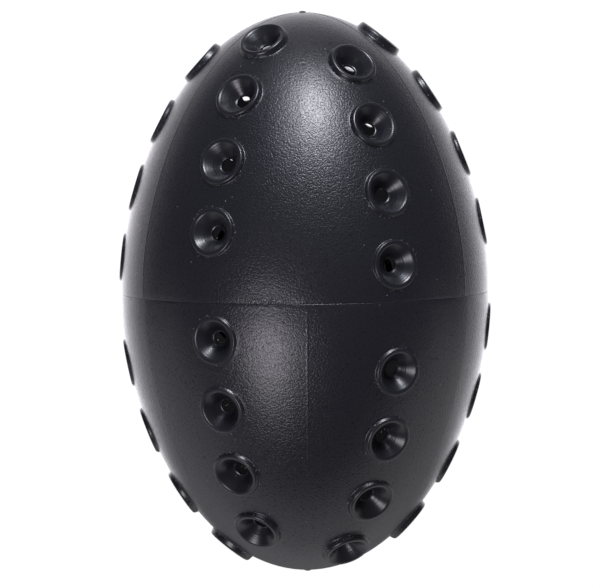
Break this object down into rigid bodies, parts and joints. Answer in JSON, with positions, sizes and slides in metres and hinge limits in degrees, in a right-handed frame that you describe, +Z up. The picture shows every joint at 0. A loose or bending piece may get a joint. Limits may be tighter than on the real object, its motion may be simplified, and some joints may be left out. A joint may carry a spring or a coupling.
{
  "type": "percussion shaker",
  "caption": "Egg-shaped hollow percussion shaker: two black plastic half shells with funnel-shaped sound holes all round, and loose steel pellets that rattle inside.",
  "frame": {"origin": "on the surface that the shaker lies on, straight below the middle of its seam", "axes": "+Y along the long axis towards the upper half, +Z up through the face that the picture shows, +X to the right of that face"},
  "size_m": [0.087, 0.131, 0.086],
  "materials": {
    "shell_plastic": "satin spark-eroded grain, glossy inside the funnels",
    "pellet_steel": "tumbled bright"
  },
  "bodies": {
    "shell": {"upper_shell": "shell_plastic", "lower_shell": "shell_plastic"},
    "pellet_01": {"pellet_01": "pellet_steel"},
    "pellet_02": {"pellet_02": "pellet_steel"},
    "pellet_03": {"pellet_03": "pellet_steel"},
    "pellet_04": {"pellet_04": "pellet_steel"},
    "pellet_05": {"pellet_05": "pellet_steel"},
    "pellet_06": {"pellet_06": "pellet_steel"},
    "pellet_07": {"pellet_07": "pellet_steel"},
    "pellet_08": {"pellet_08": "pellet_steel"},
    "pellet_09": {"pellet_09": "pellet_steel"},
    "pellet_10": {"pellet_10": "pellet_steel"},
    "pellet_11": {"pellet_11": "pellet_steel"},
    "pellet_12": {"pellet_12": "pellet_steel"},
    "pellet_13": {"pellet_13": "pellet_steel"},
    "pellet_14": {"pellet_14": "pellet_steel"},
    "pellet_15": {"pellet_15": "pellet_steel"},
    "pellet_16": {"pellet_16": "pellet_steel"},
    "pellet_17": {"pellet_17": "pellet_steel"},
    "pellet_18": {"pellet_18": "pellet_steel"},
    "pellet_19": {"pellet_19": "pellet_steel"},
    "pellet_20": {"pellet_20": "pellet_steel"},
    "pellet_21": {"pellet_21": "pellet_steel"},
    "pellet_22": {"pellet_22": "pellet_steel"},
    "pellet_23": {"pellet_23": "pellet_steel"},
    "pellet_24": {"pellet_24": "pellet_steel"},
    "pellet_25": {"pellet_25": "pellet_steel"},
    "pellet_26": {"pellet_26": "pellet_steel"},
    "pellet_27": {"pellet_27": "pellet_steel"},
    "pellet_28": {"pellet_28": "pellet_steel"},
    "pellet_29": {"pellet_29": "pellet_steel"},
    "pellet_30": {"pellet_30": "pellet_steel"},
    "pellet_31": {"pellet_31": "pellet_steel"},
    "pellet_32": {"pellet_32": "pellet_steel"},
    "pellet_33": {"pellet_33": "pellet_steel"},
    "pellet_34": {"pellet_34": "pellet_steel"},
    "pellet_35": {"pellet_35": "pellet_steel"},
    "pellet_36": {"pellet_36": "pellet_steel"},
    "pellet_37": {"pellet_37": "pellet_steel"},
    "pellet_38": {"pellet_38": "pellet_steel"},
    "pellet_39": {"pellet_39": "pellet_steel"},
    "pellet_40": {"pellet_40": "pellet_steel"},
    "pellet_41": {"pellet_41": "pellet_steel"},
    "pellet_42": {"pellet_42": "pellet_steel"},
    "pellet_43": {"pellet_43": "pellet_steel"},
    "pellet_44": {"pellet_44": "pellet_steel"},
    "pellet_45": {"pellet_45": "pellet_steel"},
    "pellet_46": {"pellet_46": "pellet_steel"},
    "pellet_47": {"pellet_47": "pellet_steel"}
  },
  "joints": [
    {"name": "pellet_01_flight", "type": "slide", "parent": "shell", "child": "pellet_01", "axis": [0, 0, 1], "range_m": [0, 0.0634]},
    {"name": "pellet_02_flight", "type": "slide", "parent": "shell", "child": "pellet_02", "axis": [0, 0, 1], "range_m": [0, 0.0645]},
    {"name": "pellet_03_flight", "type": "slide", "parent": "shell", "child": "pellet_03", "axis": [0, 0, 1], "range_m": [0, 0.0645]},
    {"name": "pellet_04_flight", "type": "slide", "parent": "shell", "child": "pellet_04", "axis": [0, 0, 1], "range_m": [0, 0.0634]},
    {"name": "pellet_05_flight", "type": "slide", "parent": "shell", "child": "pellet_05", "axis": [0, 0, 1], "range_m": [0, 0.0644]},
    {"name": "pellet_06_flight", "type": "slide", "parent": "shell", "child": "pellet_06", "axis": [0, 0, 1], "range_m": [0, 0.0671]},
    {"name": "pellet_07_flight", "type": "slide", "parent": "shell", "child": "pellet_07", "axis": [0, 0, 1], "range_m": [0, 0.0688]},
    {"name": "pellet_08_flight", "type": "slide", "parent": "shell", "child": "pellet_08", "axis": [0, 0, 1], "range_m": [0, 0.0691]},
    {"name": "pellet_09_flight", "type": "slide", "parent": "shell", "child": "pellet_09", "axis": [0, 0, 1], "range_m": [0, 0.0688]},
    {"name": "pellet_10_flight", "type": "slide", "parent": "shell", "child": "pellet_10", "axis": [0, 0, 1], "range_m": [0, 0.0671]},
    {"name": "pellet_11_flight", "type": "slide", "parent": "shell", "child": "pellet_11", "axis": [0, 0, 1], "range_m": [0, 0.0644]},
    {"name": "pellet_12_flight", "type": "slide", "parent": "shell", "child": "pellet_12", "axis": [0, 0, 1], "range_m": [0, 0.0655]},
    {"name": "pellet_13_flight", "type": "slide", "parent": "shell", "child": "pellet_13", "axis": [0, 0, 1], "range_m": [0, 0.0686]},
    {"name": "pellet_14_flight", "type": "slide", "parent": "shell", "child": "pellet_14", "axis": [0, 0, 1], "range_m": [0, 0.0707]},
    {"name": "pellet_15_flight", "type": "slide", "parent": "shell", "child": "pellet_15", "axis": [0, 0, 1], "range_m": [0, 0.0717]},
    {"name": "pellet_16_flight", "type": "slide", "parent": "shell", "child": "pellet_16", "axis": [0, 0, 1], "range_m": [0, 0.0717]},
    {"name": "pellet_17_flight", "type": "slide", "parent": "shell", "child": "pellet_17", "axis": [0, 0, 1], "range_m": [0, 0.0707]},
    {"name": "pellet_18_flight", "type": "slide", "parent": "shell", "child": "pellet_18", "axis": [0, 0, 1], "range_m": [0, 0.0686]},
    {"name": "pellet_19_flight", "type": "slide", "parent": "shell", "child": "pellet_19", "axis": [0, 0, 1], "range_m": [0, 0.0655]},
    {"name": "pellet_20_flight", "type": "slide", "parent": "shell", "child": "pellet_20", "axis": [0, 0, 1], "range_m": [0, 0.0645]},
    {"name": "pellet_21_flight", "type": "slide", "parent": "shell", "child": "pellet_21", "axis": [0, 0, 1], "range_m": [0, 0.0681]},
    {"name": "pellet_22_flight", "type": "slide", "parent": "shell", "child": "pellet_22", "axis": [0, 0, 1], "range_m": [0, 0.0707]},
    {"name": "pellet_23_flight", "type": "slide", "parent": "shell", "child": "pellet_23", "axis": [0, 0, 1], "range_m": [0, 0.0722]},
    {"name": "pellet_24_flight", "type": "slide", "parent": "shell", "child": "pellet_24", "axis": [0, 0, 1], "range_m": [0, 0.0726]},
    {"name": "pellet_25_flight", "type": "slide", "parent": "shell", "child": "pellet_25", "axis": [0, 0, 1], "range_m": [0, 0.0722]},
    {"name": "pellet_26_flight", "type": "slide", "parent": "shell", "child": "pellet_26", "axis": [0, 0, 1], "range_m": [0, 0.0707]},
    {"name": "pellet_27_flight", "type": "slide", "parent": "shell", "child": "pellet_27", "axis": [0, 0, 1], "range_m": [0, 0.0681]},
    {"name": "pellet_28_flight", "type": "slide", "parent": "shell", "child": "pellet_28", "axis": [0, 0, 1], "range_m": [0, 0.0645]},
    {"name": "pellet_29_flight", "type": "slide", "parent": "shell", "child": "pellet_29", "axis": [0, 0, 1], "range_m": [0, 0.0655]},
    {"name": "pellet_30_flight", "type": "slide", "parent": "shell", "child": "pellet_30", "axis": [0, 0, 1], "range_m": [0, 0.0686]},
    {"name": "pellet_31_flight", "type": "slide", "parent": "shell", "child": "pellet_31", "axis": [0, 0, 1], "range_m": [0, 0.0707]},
    {"name": "pellet_32_flight", "type": "slide", "parent": "shell", "child": "pellet_32", "axis": [0, 0, 1], "range_m": [0, 0.0717]},
    {"name": "pellet_33_flight", "type": "slide", "parent": "shell", "child": "pellet_33", "axis": [0, 0, 1], "range_m": [0, 0.0717]},
    {"name": "pellet_34_flight", "type": "slide", "parent": "shell", "child": "pellet_34", "axis": [0, 0, 1], "range_m": [0, 0.0707]},
    {"name": "pellet_35_flight", "type": "slide", "parent": "shell", "child": "pellet_35", "axis": [0, 0, 1], "range_m": [0, 0.0686]},
    {"name": "pellet_36_flight", "type": "slide", "parent": "shell", "child": "pellet_36", "axis": [0, 0, 1], "range_m": [0, 0.0655]},
    {"name": "pellet_37_flight", "type": "slide", "parent": "shell", "child": "pellet_37", "axis": [0, 0, 1], "range_m": [0, 0.0644]},
    {"name": "pellet_38_flight", "type": "slide", "parent": "shell", "child": "pellet_38", "axis": [0, 0, 1], "range_m": [0, 0.0671]},
    {"name": "pellet_39_flight", "type": "slide", "parent": "shell", "child": "pellet_39", "axis": [0, 0, 1], "range_m": [0, 0.0688]},
    {"name": "pellet_40_flight", "type": "slide", "parent": "shell", "child": "pellet_40", "axis": [0, 0, 1], "range_m": [0, 0.0691]},
    {"name": "pellet_41_flight", "type": "slide", "parent": "shell", "child": "pellet_41", "axis": [0, 0, 1], "range_m": [0, 0.0688]},
    {"name": "pellet_42_flight", "type": "slide", "parent": "shell", "child": "pellet_42", "axis": [0, 0, 1], "range_m": [0, 0.0671]},
    {"name": "pellet_43_flight", "type": "slide", "parent": "shell", "child": "pellet_43", "axis": [0, 0, 1], "range_m": [0, 0.0644]},
    {"name": "pellet_44_flight", "type": "slide", "parent": "shell", "child": "pellet_44", "axis": [0, 0, 1], "range_m": [0, 0.0634]},
    {"name": "pellet_45_flight", "type": "slide", "parent": "shell", "child": "pellet_45", "axis": [0, 0, 1], "range_m": [0, 0.0645]},
    {"name": "pellet_46_flight", "type": "slide", "parent": "shell", "child": "pellet_46", "axis": [0, 0, 1], "range_m": [0, 0.0645]},
    {"name": "pellet_47_flight", "type": "slide", "parent": "shell", "child": "pellet_47", "axis": [0, 0, 1], "range_m": [0, 0.0634]}
  ]
}
